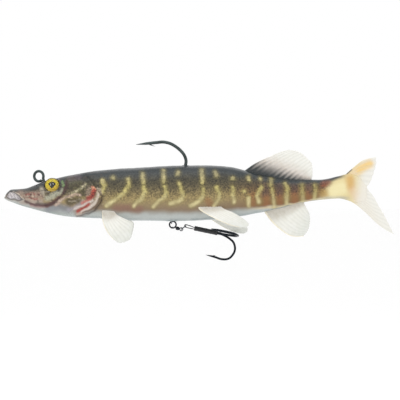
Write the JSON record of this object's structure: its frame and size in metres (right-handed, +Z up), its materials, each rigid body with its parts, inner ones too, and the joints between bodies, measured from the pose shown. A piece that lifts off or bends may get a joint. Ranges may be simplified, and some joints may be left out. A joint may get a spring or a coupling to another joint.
{
  "type": "soft swimbait",
  "caption": "Pike-shaped soft swimbait: a bending body and fins on a leaded jig hook, with a treble on a swivel under the belly.",
  "frame": {"origin": "centre of the line-tie ring on the head, in the fish's middle plane", "axes": "+X from the nose to the tail, +Y to the fish's right side, +Z up through the back"},
  "size_m": [0.2, 0.032, 0.0615],
  "materials": {
    "soft_body": "soft plastisol, printed, satin gloss",
    "soft_fin": "soft plastisol, milky and translucent",
    "printed_eye": "printed foil disc",
    "clear_dome": "clear cast epoxy",
    "black_nickel": "black nickel plated steel wire, glossy",
    "steel_wire": "stainless spring wire",
    "lead": "cast lead, dull",
    "shrink_tube": "heat-shrunk tube, satin black"
  },
  "bodies": {
    "body_front": {"body_front": "soft_body", "lead_weight": "lead", "jig_hook": "black_nickel", "belly_hanger": "steel_wire", "eye_disc_left": "printed_eye", "eye_disc_right": "printed_eye", "eye_dome_left": "clear_dome", "eye_dome_right": "clear_dome"},
    "body_rear": {"body_rear": "soft_body"},
    "tail_stem": {"tail_stem": "soft_body"},
    "tail_fin": {"tail_fin": "soft_fin"},
    "dorsal_fin": {"dorsal_fin": "soft_fin"},
    "anal_fin": {"anal_fin": "soft_fin"},
    "pectoral_fin_left": {"pectoral_fin_left": "soft_fin"},
    "pectoral_fin_right": {"pectoral_fin_right": "soft_fin"},
    "pelvic_fin_left": {"pelvic_fin_left": "soft_fin"},
    "pelvic_fin_right": {"pelvic_fin_right": "soft_fin"},
    "front_ring": {"split_ring_front": "black_nickel"},
    "swivel": {"swivel_front_eye": "steel_wire", "swivel_rear_eye": "steel_wire"},
    "barrel": {"swivel_barrel": "black_nickel"},
    "rear_ring": {"split_ring_rear": "steel_wire"},
    "treble": {"treble_hook": "black_nickel", "shrink_sleeve": "shrink_tube"}
  },
  "joints": [
    {"name": "body_bend", "type": "hinge", "parent": "body_front", "child": "body_rear", "pos_m": [0.1013, 0, -0.008], "axis": [0, 0, 1], "range_deg": [-20, 20], "stiffness_Nm_per_rad": 0.06},
    {"name": "tail_wag", "type": "hinge", "parent": "body_rear", "child": "tail_stem", "pos_m": [0.1434, 0, -0.007], "axis": [0, 0, 1], "range_deg": [-30, 30], "stiffness_Nm_per_rad": 0.012},
    {"name": "tail_fin_flex", "type": "hinge", "parent": "tail_stem", "child": "tail_fin", "pos_m": [0.1565, 0, -0.006], "axis": [0, 0, 1], "range_deg": [-35, 35], "stiffness_Nm_per_rad": 0.006},
    {"name": "dorsal_fin_flap", "type": "hinge", "parent": "body_rear", "child": "dorsal_fin", "pos_m": [0.1058, 0, 0.0036], "axis": [0.9886, 0, -0.1506], "range_deg": [-25, 25], "stiffness_Nm_per_rad": 0.0006},
    {"name": "anal_fin_flap", "type": "hinge", "parent": "body_rear", "child": "anal_fin", "pos_m": [0.1156, 0, -0.0186], "axis": [0.9745, 0, 0.2245], "range_deg": [-25, 25], "stiffness_Nm_per_rad": 0.0006},
    {"name": "pectoral_fin_left_flap", "type": "hinge", "parent": "body_front", "child": "pectoral_fin_left", "pos_m": [0.0355, -0.00774, -0.0189], "axis": [-1, 0, 0], "range_deg": [-20, 25], "stiffness_Nm_per_rad": 0.0004},
    {"name": "pectoral_fin_right_flap", "type": "hinge", "parent": "body_front", "child": "pectoral_fin_right", "pos_m": [0.0355, 0.00774, -0.0189], "axis": [1, 0, 0], "range_deg": [-20, 25], "stiffness_Nm_per_rad": 0.0004},
    {"name": "pelvic_fin_left_flap", "type": "hinge", "parent": "body_front", "child": "pelvic_fin_left", "pos_m": [0.088, -0.00932, -0.0166], "axis": [-1, 0, 0], "range_deg": [-15, 15], "stiffness_Nm_per_rad": 0.0004},
    {"name": "pelvic_fin_right_flap", "type": "hinge", "parent": "body_front", "child": "pelvic_fin_right", "pos_m": [0.088, 0.00932, -0.0166], "axis": [1, 0, 0], "range_deg": [-15, 15], "stiffness_Nm_per_rad": 0.0004},
    {"name": "front_ring_swing", "type": "hinge", "parent": "body_front", "child": "front_ring", "pos_m": [0.0682, 0, -0.02335], "axis": [0, 1, 0], "range_deg": [0, 25]},
    {"name": "swivel_swing", "type": "hinge", "parent": "front_ring", "child": "swivel", "pos_m": [0.06945, 0, -0.02635], "axis": [0, 1, 0], "range_deg": [0, 25]},
    {"name": "barrel_spin", "type": "hinge", "parent": "swivel", "child": "barrel", "pos_m": [0.0713, 0, -0.02678], "axis": [0.9746, 0, -0.2239], "continuous": true},
    {"name": "rear_ring_swing", "type": "hinge", "parent": "swivel", "child": "rear_ring", "pos_m": [0.07315, 0, -0.0272], "axis": [0, 1, 0], "range_deg": [0, 25]},
    {"name": "treble_swing", "type": "hinge", "parent": "rear_ring", "child": "treble", "pos_m": [0.07555, 0, -0.0255], "axis": [0, 1, 0], "range_deg": [0, 60]}
  ]
}
